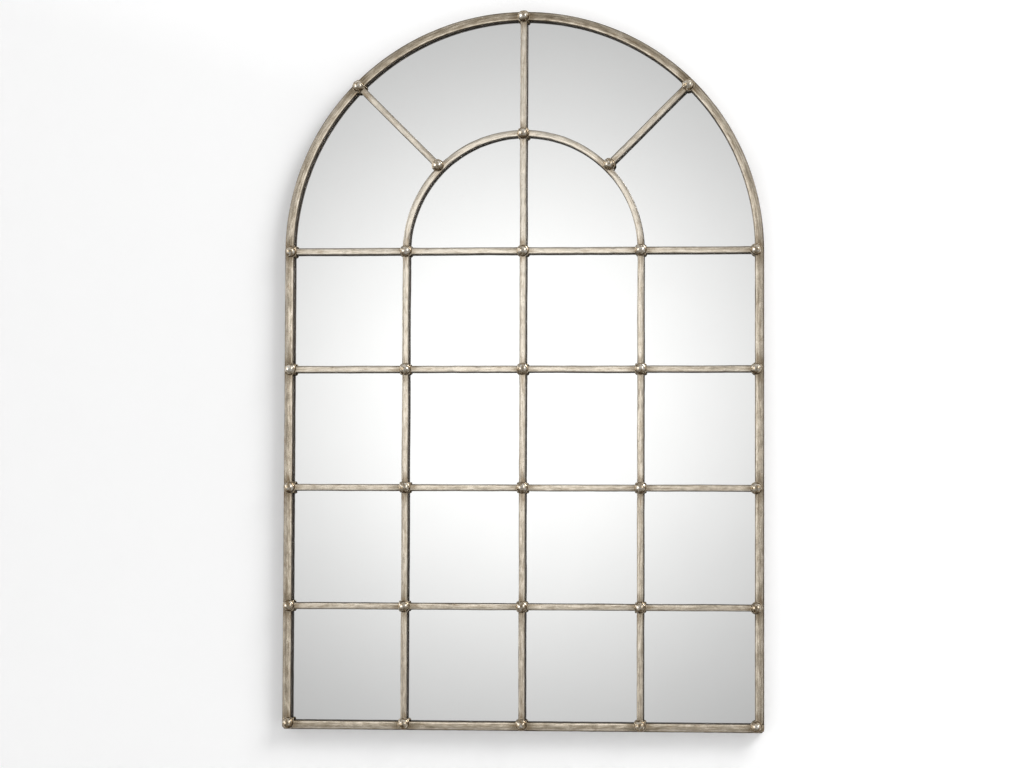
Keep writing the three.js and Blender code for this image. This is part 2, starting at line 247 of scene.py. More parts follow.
def new_material(name):
    material = bpy.data.materials.new(name)
    return material, Graph(material)


# ---------------- materials


# Painted light: the middle of a pool of light painted on the bars, across and up, and its spread.
LIT_MIDDLE_X, LIT_MIDDLE_SPREAD_X = -0.07, 0.21
LIT_MIDDLE_Z, LIT_MIDDLE_SPREAD_Z = 0.05, 0.24
LOWER_PAINTED_SHADE = (-0.10, -0.70)  # heights between which the bars are painted a little darker, as painted shade
# Painted shade: heights over which the top of the arch is painted darker.
CROWN_PAINTED_SHADE = (0.18, 0.34)
# Painted shade: places across over which the right of the mirror is painted darker.
RIGHT_PAINTED_SHADE = (0.19, 0.34)


def forged_metal(name, level, middle, crown):
    """Silver leaf worn back over dark steel: long streaks, brown wash, worn high spots.

    level is how much silver is left. middle is painted light: how much lighter the bars are
    painted in the middle of the mirror; it also sets the painted shade to the right of it. crown
    is painted shade: how much darker the top of the arch is painted. A painted highlight runs
    just inside the front edges, the rounded edges themselves are painted dark as shade, and the
    sides are dark steel with painted shade that grows darker towards the bottom.
    """
    material, g = new_material(name)
    grain = g.attribute("grain", "Vector")
    joint = g.attribute("joint")
    side = g.attribute("side")
    across = g.math("ABSOLUTE", g.attribute("across"))
    place = g.place()

    streak = g.noise(g.stretch(grain, (0.022, 0.62, 1.0)), 1.0, 5.0, 0.62)
    brushed = g.noise(g.stretch(grain, (0.10, 2.4, 1.0)), 1.0, 3.0, 0.6)
    patch = g.noise(g.stretch(grain, (0.045, 0.12, 1.0)), 1.0, 3.0, 0.6, 0.4)
    speck = g.noise(place, 620.0, 3.0, 0.65)
    pit = g.cells(place, 260.0)

    x, y, z = g.parts(place)
    low = g.remap(z, *LOWER_PAINTED_SHADE, smooth=True)
    aside = (g.less(x, LIT_MIDDLE_X), LIT_MIDDLE_SPREAD_X)
    # Painted light: a pool of light painted on the bars round the middle of the mirror.
    painted_light_middle = g.bell(aside, (g.less(z, LIT_MIDDLE_Z), LIT_MIDDLE_SPREAD_Z))
    # Painted shade: the top of the arch is painted darker, by crown.
    top = g.remap(z, *CROWN_PAINTED_SHADE, smooth=True)

    tone = g.plus(level, g.times(painted_light_middle, middle))
    tone = g.less(tone, g.times(top, crown))
    # Painted shade: the bars are painted darker towards the right.
    tone = g.less(tone, g.remap(x, *RIGHT_PAINTED_SHADE, 0.0, 0.28 * middle))
    tone = g.vary(tone, (streak, 0.95), (patch, 0.75), (brushed, 0.40), (speck, 0.38))
    # Painted shade: a little darker towards the bottom.
    tone = g.less(tone, g.times(low, 0.05))
    # Painted highlight: a light stripe just inside the front edges.
    painted_highlight = g.times(g.remap(across, 0.42, 0.58), g.remap(across, 0.82, 0.70))
    tone = g.plus(tone, g.times(painted_highlight, g.remap(brushed, 0.38, 0.60, 0.02, 0.30)))
    stain = g.times(joint, g.remap(patch, 0.34, 0.60, 0.15, 1.0))
    tone = g.less(tone, g.times(stain, 0.36), clamp=True)

    colour = g.ramp(
        tone,
        [
            (0.0, (62, 50, 37)),
            (0.22, (116, 100, 78)),
            (0.45, (173, 159, 137)),
            (0.66, (213, 200, 179)),
            (0.84, (244, 231, 211)),
            (1.0, (254, 244, 227)),
        ],
    )
    wash = g.noise(g.stretch(grain, (0.06, 0.22, 1.0)), 1.0, 4.0, 0.6)
    wash = g.plus(wash, g.times(joint, 0.12))
    colour = g.mix(g.remap(wash, 0.54, 0.74, 0.0, 0.55), colour, paint(158, 132, 98))
    groove = g.noise(g.stretch(grain, (0.010, 0.80, 1.0)), 1.0, 2.0, 0.5)
    groove = g.times(g.remap(groove, 0.57, 0.64), g.remap(patch, 0.35, 0.55, 0.12, 0.45))
    colour = g.mix(groove, colour, paint(128, 108, 82))
    holes = g.remap(pit, 0.10, 0.20, 0.55, 0.0)
    colour = g.mix(g.times(holes, g.remap(patch, 0.45, 0.6)), colour, paint(96, 80, 60))
    # Painted shade: the rounded front edges are painted dark, varied a little by the streaks.
    rim = g.times(g.remap(across, 0.77, 0.87), g.remap(streak, 0.30, 0.62, 1.0, 0.80))
    colour = g.mix(g.times(rim, 0.93), colour, paint(50, 40, 30))
    # The sides: dark steel with painted shade, darker towards the bottom; further back they turn a
    # lighter brown with worn flecks.
    shade = g.mix(low, paint(72, 62, 50), paint(20, 16, 12))
    rear = g.remap(y, BAR_BACK - 6 * MM, BAR_BACK + 2 * MM)
    shade = g.mix(g.times(rear, 0.75), shade, paint(86, 75, 62))
    scale = g.weigh((patch, 0.9), (brushed, 0.6), (speck, 0.5))
    scale = g.remap(scale, 0.75, 1.25, 0.55, 1.45)
    shade = g.mix(1.0, shade, scale, "MULTIPLY")
    worn = g.times(g.remap(brushed, 0.54, 0.68), g.remap(patch, 0.46, 0.62))
    worn = g.times(worn, g.remap(rear, 0.0, 1.0, 0.10, 0.55))
    shade = g.mix(worn, shade, paint(176, 160, 136))
    colour = g.mix(g.times(side, 0.97), colour, shade)

    rough = g.vary(g.remap(tone, 0.1, 0.9, 0.30, 0.105), (speck, 0.10))
    rough = g.plus(rough, g.times(rim, 0.20))
    rough = g.plus(rough, g.times(side, 0.25), clamp=True)
    relief = g.weigh((streak, 0.8), (brushed, 0.55), (speck, 0.35), (holes, -0.5))
    normal = g.bump(relief, 0.5, 0.00010)
    metallic = g.remap(side, 0.0, 1.0, 0.86, 0.20)
    g.surface(Base_Color=colour, Metallic=metallic, Roughness=rough, Normal=normal)
    return material


def ball_metal():
    """Polished high spots, olive brown in the hollows and round the foot; painted shade beneath."""
    material, g = new_material("worn_ball_silver")
    place = g.place()
    foot = g.attribute("foot")
    broad = g.noise(place, 115.0, 3.0, 0.55)
    facet = g.noise(place, 290.0, 2.0, 0.5)
    fine = g.noise(place, 640.0, 4.0, 0.62)
    tone = g.vary(0.64, (broad, 0.8), (facet, 1.1), (fine, 0.8))
    # foot also carries the painted shade on the underside.
    tone = g.less(tone, g.times(foot, 0.50))
    # Painted shade: the lower balls are painted darker.
    low = g.remap(g.parts(place)[2], -0.25, -0.72, 0.0, 0.10)
    tone = g.less(tone, low, clamp=True)
    colour = g.ramp(
        tone,
        [
            (0.0, (58, 43, 27)),
            (0.26, (110, 88, 59)),
            (0.50, (172, 156, 131)),
            (0.74, (217, 208, 194)),
            (1.0, (247, 244, 238)),
        ],
    )
    rough = g.remap(tone, 0.1, 0.9, 0.32, 0.17)
    relief = g.weigh((broad, 0.7), (facet, 0.9), (fine, 0.4))
    normal = g.bump(relief, 0.5, 0.00022)
    g.surface(Base_Color=colour, Metallic=0.88, Roughness=rough, Normal=normal)
    return material


def weld_metal():
    """Weld beads, dark and gritty; crests worn bright, with a painted highlight on the collars."""
    material, g = new_material("weld_seam")
    place = g.place()
    fine = g.noise(place, 700.0, 4.0, 0.65)
    broad = g.noise(place, 210.0, 2.0, 0.5)
    tone = g.weigh((fine, 0.6), (broad, 0.5))
    crest = g.attribute("crest")
    # Lighter at the crest: worn crests, and on the collars a painted highlight along their front.
    tone = g.plus(tone, g.times(g.less(crest, 0.5), 0.45), clamp=True)
    colour = g.ramp(
        tone,
        [
            (0.24, (50, 40, 28)),
            (0.50, (108, 92, 68)),
            (0.68, (184, 168, 141)),
            (0.88, (240, 230, 212)),
        ],
    )
    rough = g.remap(tone, 0.2, 0.8, 0.6, 0.3)
    g.surface(Base_Color=colour, Metallic=0.7, Roughness=rough, Normal=g.bump(fine, 0.8, 0.0006))
    return material


def clear_glass():
    material, g = new_material("mirror_front_glass")
    place = g.place()
    haze = g.noise(place, 3.0, 3.0, 0.5)
    wave = g.bump(g.noise(place, 6.0, 1.0, 0.4), 0.25, 0.00006)
    g.surface(
        Base_Color=(0.99, 0.992, 0.988),
        Roughness=g.remap(haze, 0.3, 0.7, 0.0, 0.012),
        Transmission_Weight=1.0,
        IOR=1.5,
        Normal=wave,
    )
    return material


def silvering():
    """The silver on the back of the glass, with a trace of haze."""
    material, g = new_material("mirror_silvering")
    cloud = g.noise(g.place(), 9.0, 4.0, 0.6)
    colour = g.mix(g.remap(cloud, 0.3, 0.7), (0.958, 0.960, 0.956), (0.974, 0.975, 0.970))
    g.surface(Base_Color=colour, Metallic=1.0, Roughness=g.remap(cloud, 0.3, 0.7, 0.008, 0.022))
    return material


def hardboard():
    """Brown board with fibres and the print of a wire screen."""
    material, g = new_material("hardboard")
    place = g.place()
    fibre = g.noise(g.stretch(place, (1.0, 1.0, 0.35)), 420.0, 5.0, 0.7)
    mottle = g.noise(place, 28.0, 4.0, 0.6)
    bands = []
    for direction in "XZ":
        wave = g.add("ShaderNodeTexWave", wave_type="BANDS", bands_direction=direction)
        bands.append(g.texture(wave, place, "Fac", Scale=190.0, Distortion=1.2))
    screen = g.times(*bands)
    colour = g.ramp(
        g.weigh((fibre, 0.55), (mottle, 0.45)),
        [(0.3, (88, 62, 42)), (0.5, (132, 98, 68)), (0.72, (166, 130, 94))],
    )
    height = g.plus(g.times(screen, 0.5), fibre)
    g.surface(
        Base_Color=colour,
        Roughness=g.remap(fibre, 0.3, 0.7, 0.92, 0.72),
        Normal=g.bump(height, 0.5, 0.0005),
    )
    return material


def zinc_plate():
    material, g = new_material("zinc_plate")
    place = g.place()
    rolled = g.noise(g.stretch(place, (1.0, 1.0, 0.08)), 900.0, 3.0, 0.6)
    bloom = g.noise(place, 130.0, 4.0, 0.6)
    colour = g.ramp(
        bloom,
        [(0.32, (150, 154, 158)), (0.5, (190, 194, 197)), (0.7, (212, 212, 206))],
    )
    rough = g.plus(g.remap(bloom, 0.3, 0.7, 0.42, 0.24), g.times(rolled, 0.12))
    height = g.weigh((rolled, 0.4), (bloom, 0.5))
    g.surface(Base_Color=colour, Metallic=0.95, Roughness=rough, Normal=g.bump(height, 0.3, 0.0003))
    return material


def rubber():
    material, g = new_material("black_rubber")
    place = g.place()
    grit = g.noise(place, 1100.0, 4.0, 0.7)
    dust = g.noise(place, 90.0, 3.0, 0.6)
    colour = g.ramp(dust, [(0.3, (30, 30, 31)), (0.75, (62, 61, 59))])
    g.surface(
        Base_Color=colour,
        Roughness=g.remap(grit, 0.3, 0.7, 0.72, 0.92),
        Normal=g.bump(grit, 0.4, 0.0003),
    )
    return material


GRILLE = forged_metal("forged_silver", level=0.78, middle=0.22, crown=0.0)
# Painted light: the inner arch has a copy of the grille's metal, painted lighter.
LIT_INNER_ARCH = forged_metal("forged_silver_arch_painted_light", level=0.89, middle=0.20, crown=0.0)
# crown is painted shade at the top of the arch.
FRAME = forged_metal("forged_silver_dark", level=0.67, middle=0.0, crown=0.14)
BALL = ball_metal()
WELD = weld_metal()
GLASS = clear_glass()
SILVER = silvering()
BOARD = hardboard()
ZINC = zinc_plate()
RUBBER = rubber()

# ---------------- mesh helpers


def new_object(name, data):
    thing = bpy.data.objects.new(name, data)
    bpy.context.scene.collection.objects.link(thing)
    return thing


def smooth(x):
    x = min(1.0, max(0.0, x))
    return x * x * (3 - 2 * x)


def circle(count):
    """The angles of count points round a full circle."""
    return [2 * math.pi * k / count for k in range(count)]


def on_sphere(polar, turn):
    """A direction, by its angle from the one out of the wall and by its turn about that one."""
    across = math.sin(polar)
    return Vector((across * math.cos(turn), -math.cos(polar), across * math.sin(turn)))


class Mesh:
    """Collects points and faces of one piece, with named numbers on each point."""

    def __init__(self, *attributes):
        self.points, self.faces, self.slots = [], [], []
        self.values = {name: [] for name in attributes}

    def point(self, place, **values):
        self.points.append(tuple(place))
        for name, column in self.values.items():
            column.append(values.get(name, 0.0))
        return len(self.points) - 1

    def face(self, corners, slot=0):
        self.faces.append(tuple(corners))
        self.slots.append(slot)

    def skin(self, loops, closed_ends=True, slot=0):
        """Quads between loops of points, with a flat face on the first and the last."""
        for a, b in zip(loops, loops[1:]):
            count = len(a)
            for i in range(count):
                j = (i + 1) % count
                self.face((a[i], a[j], b[j], b[i]), slot)
        if closed_ends:
            self.face(loops[0][::-1], slot)
            self.face(loops[-1], slot)

    def build(self, name, materials, slot_name, body="mirror", sharp=42.0):
        """The finished object, kept inside the CAD model's box, riding on its body."""
        low, high = np.array(cad_low), np.array(cad_high)
        points = np.clip(np.array(self.points), low, high)
        mesh = bpy.data.meshes.new(name)
        mesh.from_pydata(points.tolist(), [], self.faces)
        for material in materials:
            mesh.materials.append(material)
        mesh.polygons.foreach_set("material_index", self.slots)
        for attribute, column in self.values.items():
            kind, field = "FLOAT", "value"
            if isinstance(column[0], tuple):
                kind, field = "FLOAT_VECTOR", "vector"
            layer = mesh.attributes.new(attribute, kind, "POINT")
            layer.data.foreach_set(field, np.array(column, np.float32).ravel())
        edit = bmesh.new()
        edit.from_mesh(mesh)
        bmesh.ops.recalc_face_normals(edit, faces=edit.faces)
        edit.to_mesh(mesh)
        edit.free()
        mesh.shade_smooth()
        mesh.set_sharp_from_angle(angle=math.radians(sharp))
        mesh.update()
        piece = new_object(name, mesh)
        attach(piece, body)
        return piece


ROUNDING_STEPS = 3  # faces on each rounded edge of a section


def outline(corners, step):
    """Points round a section. Each corner is (across, y, radius); long sides are split in steps.

    Returns rows of (across, y, outward across, outward y, length so far, how rounded the edge is).
    """
    count = len(corners)
    area = sum(
        corners[i][0] * corners[(i + 1) % count][1] - corners[(i + 1) % count][0] * corners[i][1]
        for i in range(count)
    )
    turn = 1.0 if area > 0 else -1.0
    points = []
    for i, (a, y, radius) in enumerate(corners):
        ahead = corners[(i + 1) % count]
        here = Vector((a, y))
        before = (Vector(corners[i - 1][:2]) - here).normalized()
        after = (Vector(ahead[:2]) - here).normalized()
        if radius:
            middle = here + radius * (before + after)
            for k in range(ROUNDING_STEPS + 1):
                angle = k / ROUNDING_STEPS * math.pi / 2
                spot = middle - radius * (after * math.cos(angle) + before * math.sin(angle))
                points.append((spot, 1.0 if 0 < k < ROUNDING_STEPS else 0.6))
        else:
            points.append((here, 0.0))
        start = points[-1][0]
        end = Vector(ahead[:2]) - after * ahead[2]
        pieces = max(1, round((end - start).length / step))
        points += [(start.lerp(end, k / pieces), 0.0) for k in range(1, pieces)]
    rows, length = [], 0.0
    for i, (spot, edge) in enumerate(points):
        before, after = points[i - 1][0], points[(i + 1) % len(points)][0]
        along = (after - before).normalized()
        rows.append((spot.x, spot.y, along.y * turn, -along.x * turn, length, edge))
        length += (after - spot).length
    return rows


class Straight:
    """A straight run in the plane of the wall. across points to the section's positive side."""

    def __init__(self, start, end, across):
        self.start, self.across = Vector(start), Vector(across)
        self.direction = Vector(end) - self.start
        self.length = self.direction.length
        self.direction.normalize()

    def at(self, s):
        return self.start + self.direction * s, self.across


class Arc:
    """Part of a circle about the origin, by angle from the vertical, from left to right."""

    def __init__(self, radius, first, last):
        self.radius, self.first = radius, first
        self.length = radius * (last - first)

    def at(self, s):
        angle = self.first + s / self.radius
        ray = Vector((math.sin(angle), math.cos(angle)))
        return ray * self.radius, ray


# How a bar was forged and worn. A wave is the length of a bump along the bar (and around it).
STATION_STEP = 3.2 * MM
BROAD_MARK, BROAD_WAVE = 0.12 * MM, (24 * MM, 10 * MM)
SHORT_MARK, SHORT_WAVE = 0.07 * MM, (8.5 * MM, 5.2 * MM)
WANDER, WANDER_WAVE = 0.42 * MM, 85 * MM  # sideways, away from the joints
CALM_UP_TO, CALM_FADE = 5 * MM, 14 * MM  # how near a joint a bar runs straight
SWELL, SWELL_WAVE = 0.22 * MM, 30 * MM  # in width
WEAR, WEAR_WAVE, WEAR_SHARE = 0.55 * MM, 11 * MM, 0.22  # off the front corners, in places
FACE_CROWN = 0.22 * MM  # how far the front falls back towards its edges
STILL_BACK = 5 * MM  # the marks fade out over this depth at the back of the bar
STAIN_UP_TO, STAIN_FADE = 6 * MM, 24 * MM  # how near a joint the metal is stained
SIDE_FROM, SIDE_FADE = 0.9 * MM, 1.6 * MM  # how deep behind the front the dark side begins
NOTCH_CLEARANCE = 0.4 * MM
NOTCH_STEP = 0.001 * MM


def forge(path, section, seed, joints, notches=(), outer_limit=None, squeeze=None):
    """A section carried along a path, with hammer marks, wandering edges and worn corners.

    joints are the places along the path where another bar or a ball meets this one. notches are
    (place, half length, "front" or "rear") where the bar keeps only half its depth. outer_limit
    stops the marks from standing out past the section's outer side. squeeze(s) gives how far out
    the section may reach at s, for the rounded corners of the rail.
    """
    piece = Mesh("grain", "joint", "across", "side")
    half_width = max(a for a, *_ in section)
    count = max(2, round(path.length / STATION_STEP))
    stations = [(path.length * i / count, None) for i in range(count + 1)]
    for place, reach, kind in notches:
        stations = [s for s in stations if abs(s[0] - place) > reach + NOTCH_CLEARANCE]
        stations.append((place - reach, None))
        stations += [(place + reach * share, kind) for share in (-1, -0.5, 0, 0.5, 1)]
        stations.append((place + reach + NOTCH_STEP, None))
    stations.sort(key=lambda station: station[0])
    loops = []
    for s, notch in stations:
        centre, across = path.at(s)
        near = min(abs(s - j) for j in joints)
        free = smooth((near - CALM_UP_TO) / CALM_FADE)
        wander = WANDER * noise.noise((s / WANDER_WAVE, seed * 1.7, 3.1)) * free
        swell = SWELL * noise.noise((s / SWELL_WAVE, seed * 2.3, 9.4))
        if outer_limit:
            wander, swell = 0.0, min(swell, 0.0)
        loop = []
        for a, y, out_a, out_y, length, edge in section:
            depth = smooth((BAR_BACK - y) / STILL_BACK)
            broad = noise.noise((s / BROAD_WAVE[0], length / BROAD_WAVE[1], seed))
            short = noise.noise((s / SHORT_WAVE[0], length / SHORT_WAVE[1], seed + 7.3))
            mark = BROAD_MARK * broad + SHORT_MARK * short
            if edge:
                worn = noise.noise((s / WEAR_WAVE, seed, length)) - WEAR_SHARE
                mark -= WEAR * max(0.0, worn)
            across_now = a + depth * (out_a * (mark + swell) + wander)
            y_now = y + depth * out_y * mark
            if y < BAR_FRONT + 0.1 * MM:
                y_now += FACE_CROWN * (a / FRAME_HALF) ** 2
            if outer_limit:
                across_now = min(across_now, outer_limit)
            if squeeze:
                across_now = min(across_now, squeeze(s))
            if notch == "front":
                y_now = max(y_now, LAP)
            if notch == "rear":
                y_now = min(y_now, LAP)
            spot = centre + across * across_now
            index = piece.point(
                (spot.x, y_now, spot.y),
                grain=(s / MM, length / MM, seed * 11.0),
                joint=smooth(1 - (near - STAIN_UP_TO) / STAIN_FADE),
                across=min(1.0, abs(a) / half_width) if y < BAR_BACK - 2 * MM else 1.0,
                side=smooth((y - BAR_FRONT - SIDE_FROM) / SIDE_FADE),
            )
            loop.append(index)
        loops.append(loop)
    piece.skin(loops)
    return piece


def plate(piece, corners, back, front, **values):
    """A flat plate with softened edges, from its (x, z) corners and the depths of its faces."""
    soft = 0.25 * MM
    middle = sum((Vector(c) for c in corners), Vector((0, 0))) / len(corners)
    loops = []
    for y, inset in ((back, soft), (back - soft, 0), (front + soft, 0), (front, soft)):
        loop = []
        for corner in corners:
            spot = Vector(corner)
            spot -= (spot - middle).normalized() * inset
            loop.append(piece.point((spot.x, y, spot.y), **values))
        loops.append(loop)
    piece.skin(loops)


def tab(piece, root, inward, seed):
    """A tab of the rim, bent over the board. root is the middle of its foot on the rim."""
    along = Vector((-inward.y, inward.x))
    half, radius = TAB_WIDTH / 2, TAB_CORNER
    angles = [k / 5 * math.pi / 2 for k in range(6)]
    corners = [root - along * half - inward * TAB_FOOT]
    for side in (-1, 1):
        middle = root + along * side * (half - radius) + inward * (TAB_REACH - radius)
        for angle in angles if side < 0 else angles[::-1]:
            corner = along * side * math.cos(angle) + inward * math.sin(angle)
            corners.append(middle + corner * radius)
    corners.append(root + along * half - inward * TAB_FOOT)
    plate(
        piece,
        corners,
        BOARD_BACK + WELD_GAP + TAB_THICKNESS,
        BOARD_BACK + WELD_GAP,
        grain=(seed * 40.0, seed * 3.0, seed),
        side=0.35,
        joint=0.4,
    )


# ---------------- bars

BAR_EDGE, FRAME_EDGE, RIM_EDGE = 1.3 * MM, 1.6 * MM, 0.5 * MM  # radii of the rounded edges

BAR_SECTION = outline(
    [
        (-BAR_HALF, BAR_BACK, 0),
        (BAR_HALF, BAR_BACK, 0),
        (BAR_HALF, BAR_FRONT, BAR_EDGE),
        (-BAR_HALF, BAR_FRONT, BAR_EDGE),
    ],
    1.6 * MM,
)
FRAME_SECTION = outline(
    [
        (-FRAME_HALF, BAR_BACK, 0),
        (RIM_INSIDE, BAR_BACK, 0),
        (RIM_INSIDE, RIM_REAR, RIM_EDGE),
        (FRAME_HALF, RIM_REAR, RIM_EDGE),
        (FRAME_HALF, BAR_FRONT, FRAME_EDGE),
        (-FRAME_HALF, BAR_FRONT, FRAME_EDGE),
    ],
    1.8 * MM,
)

ROWS = [-row * PANE_HEIGHT for row in range(5)]
COLUMNS = [column * PANE_WIDTH for column in range(-2, 3)]
LAP_HALF = BAR_HALF + WELD_GAP
SIDES = ((-1, "left"), (1, "right"))


def quarters(path):
    """The places where balls sit on an arch: its ends, its crown and halfway up."""
    return [k * path.length / 4 for k in range(5)]


def finish_bar(piece, node):
    metal = FRAME if node.startswith("frame") else LIT_INNER_ARCH if node == "inner_arch" else GRILLE
    made = piece.build(f"{node}_forged", [metal], "frame_metal")
    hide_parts(node)


def make_frame():
    end = math.asin(WELD_GAP / 2 / ARCH_RADIUS)
    arch = Arc(ARCH_RADIUS, end - math.pi / 2, math.pi / 2 - end)
    piece = forge(arch, FRAME_SECTION, 1.0, quarters(arch), outer_limit=FRAME_HALF)
    for k, angle in enumerate((-math.pi / 4, 0.0, math.pi / 4)):
        ray = Vector((math.sin(angle), math.cos(angle)))
        tab(piece, ray * (ARCH_RADIUS + RIM_INSIDE), -ray, 1.0 + k)
    finish_bar(piece, "frame_arch")

    for side, label in SIDES:
        start = (side * ARCH_RADIUS, RAIL_Z + FRAME_HALF + WELD_GAP)
        run = Straight(start, (side * ARCH_RADIUS, -WELD_GAP / 2), (side, 0))
        joints = [row - start[1] for row in ROWS]
        piece = forge(run, FRAME_SECTION, 3.0 + side, joints, outer_limit=FRAME_HALF)
        for row in (1, 3):
            root = Vector((side * (ARCH_RADIUS + RIM_INSIDE), ROWS[row]))
            tab(piece, root, Vector((-side, 0)), 5.0 + row)
        finish_bar(piece, f"frame_stile_{label}")

    def corner(s):
        """How far down the rail's end reaches, where its corners are rounded."""
        missing = CORNER_RADIUS - min(s, rail.length - s)
        if missing <= 0:
            return FRAME_HALF
        drop = math.sqrt(max(0.0, CORNER_RADIUS**2 - missing * missing))
        return FRAME_HALF - CORNER_RADIUS + drop

    rail = Straight((-OUTSIDE, RAIL_Z), (OUTSIDE, RAIL_Z), (0, -1))
    joints = [x + OUTSIDE for x in COLUMNS]
    piece = forge(rail, FRAME_SECTION, 7.0, joints, outer_limit=FRAME_HALF, squeeze=corner)
    for side in (-1, 1):
        # The rim turns up at both ends to meet the rims of the stiles.
        outer, inner = side * OUTSIDE, side * (OUTSIDE - RIM_WALL)
        top, bottom = RAIL_Z + FRAME_HALF - WELD_GAP, RAIL_Z - FRAME_HALF + CORNER_RADIUS
        curve = []
        for k in range(4):
            angle = k / 4 * math.pi / 2
            x = OUTSIDE - CORNER_RADIUS + CORNER_RADIUS * math.cos(angle)
            curve.append((side * x, bottom - CORNER_RADIUS * math.sin(angle)))
        upturn = [(inner, top), (outer, top), *curve, (inner, curve[-1][1])]
        worn = {"side": 1.0, "joint": 0.5, "grain": (side, 1.0, 1.0)}
        plate(piece, upturn, RIM_REAR, BAR_BACK - 1.0 * MM, **worn)
    for k, x in enumerate((COLUMNS[1], COLUMNS[3])):
        tab(piece, Vector((x, RAIL_Z - RIM_INSIDE)), Vector((0, 1)), 9.0 + k)
    finish_bar(piece, "frame_bottom_rail")


def make_grille():
    bottom = RAIL_Z + FRAME_HALF + WELD_GAP
    for side, label in ((-1, "left"), (0, "middle"), (1, "right")):
        x = side * PANE_WIDTH
        top = -LAP_HALF if side else OPENING - WELD_GAP
        run = Straight((x, bottom), (x, top), (1, 0))
        laps = ROWS[1:4] if side else [*ROWS[:4], INNER_RADIUS]
        notches = [(z - bottom, LAP_HALF, "rear") for z in laps]
        joints = [z - bottom for z in [*laps, RAIL_Z, 0.0 if side else ARCH_RADIUS]]
        piece = forge(run, BAR_SECTION, 12.0 + side, joints, notches)
        finish_bar(piece, f"upright_bar_{label}")

    end = OPENING - WELD_GAP
    for row, z in enumerate(ROWS[:4]):
        run = Straight((-end, z), (end, z), (0, -1))
        places = [0.0] if row == 0 else COLUMNS[1:4]
        notches = [(x + end, LAP_HALF, "front") for x in places]
        piece = forge(run, BAR_SECTION, 21.0 + row, [x + end for x in COLUMNS], notches)
        finish_bar(piece, f"cross_bar_{row + 1}")

    start = math.asin(LAP_HALF / INNER_RADIUS)
    arch = Arc(INNER_RADIUS, start - math.pi / 2, math.pi / 2 - start)
    notches = [(arch.length / 2, LAP_HALF, "front")]
    finish_bar(forge(arch, BAR_SECTION, 33.4, quarters(arch), notches), "inner_arch")

    for side, label in SIDES:
        ray = Vector((side, 1)).normalized()
        first, last = INNER_RADIUS + LAP_HALF, OPENING - WELD_GAP
        run = Straight(ray * first, ray * last, (ray.y, -ray.x))
        piece = forge(run, BAR_SECTION, 35.0 + side, [0.0, run.length])
        finish_bar(piece, f"spoke_{label}")


# ---------------- balls and welds

BALL_RINGS, BALL_SEGMENTS = 22, 40
BROAD_DENT, SHORT_DENT = 0.26 * MM, 0.14 * MM
COLLAR_SEGMENTS, COLLAR_SIDES = 48, 8
COLLAR_LIFT = 0.15 * MM  # how far in front of the bar's face the collar's core lies
BEAD_RINGS, BEAD_SEGMENTS = 7, 10


def make_ball(node, seed):
    """A hammered ball on its flat, with an uneven collar of weld round its foot."""
    low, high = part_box(node)
    x, z = (low.x + high.x) / 2, (low.z + high.z) / 2
    piece = Mesh("foot", "crest")
    last = math.acos((BALL_MIDDLE - BAR_FRONT) / BALL_RADIUS)
    top = piece.point((x, BALL_MIDDLE - BALL_RADIUS, z))
    loops = []
    for i in range(1, BALL_RINGS + 1):
        polar = last * i / BALL_RINGS
        foot = smooth((polar - 0.85) / 0.55)
        loop = []
        for turn in circle(BALL_SEGMENTS):
            ray = on_sphere(polar, turn)
            broad = 0.5 + 0.5 * noise.noise(ray * 1.5 + Vector((seed, 0, 0)))
            short = 0.5 + 0.5 * noise.noise(ray * 4.2 + Vector((0, seed, 0)))
            radius = BALL_RADIUS - BROAD_DENT * broad - SHORT_DENT * short
            # Painted shade: the underside of each ball is painted darker, through the foot value.
            underside_shade = 0.44 * smooth((-ray.z - 0.20) / 0.6)
            spot = Vector((x, BALL_MIDDLE, z)) + ray * radius
            loop.append(piece.point(spot, foot=min(1.0, foot + underside_shade), crest=0.2))
        loops.append(loop)
    for j in range(BALL_SEGMENTS):
        piece.face((top, loops[0][j], loops[0][(j + 1) % BALL_SEGMENTS]))
    piece.skin(loops, closed_ends=False)
    piece.face(loops[-1])

    flat = math.sqrt(BALL_RADIUS**2 - (BALL_MIDDLE - BAR_FRONT) ** 2)
    collar = []
    for turn in circle(COLLAR_SEGMENTS):
        ray = Vector((math.cos(turn), 0, math.sin(turn)))
        lump = 0.5 + 0.5 * noise.noise(ray * 3.1 + Vector((seed, seed, 1)))
        grit = noise.noise(ray * 9.0 + Vector((seed, 2, seed)))
        thick = (0.40 + 0.85 * lump**1.5 + 0.16 * grit) * MM
        reach = flat + (0.15 + 0.3 * lump) * MM
        loop = []
        for angle in circle(COLLAR_SIDES):
            core = Vector((x, BAR_FRONT - COLLAR_LIFT, z))
            spot = core + ray * (reach + thick * math.cos(angle))
            spot.y -= thick * 0.9 * math.sin(angle)
            # The front of the collar is lighter: a worn crest and a painted highlight.
            crest = 0.5 + 0.5 * math.sin(angle) * (0.4 + 0.6 * lump)
            loop.append(piece.point(spot, crest=crest))
        collar.append(loop)
    piece.skin([*collar, collar[0]], closed_ends=False, slot=1)
    made = piece.build(f"{node}_worn", [BALL, WELD], "ball_metal", sharp=60)
    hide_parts(node)


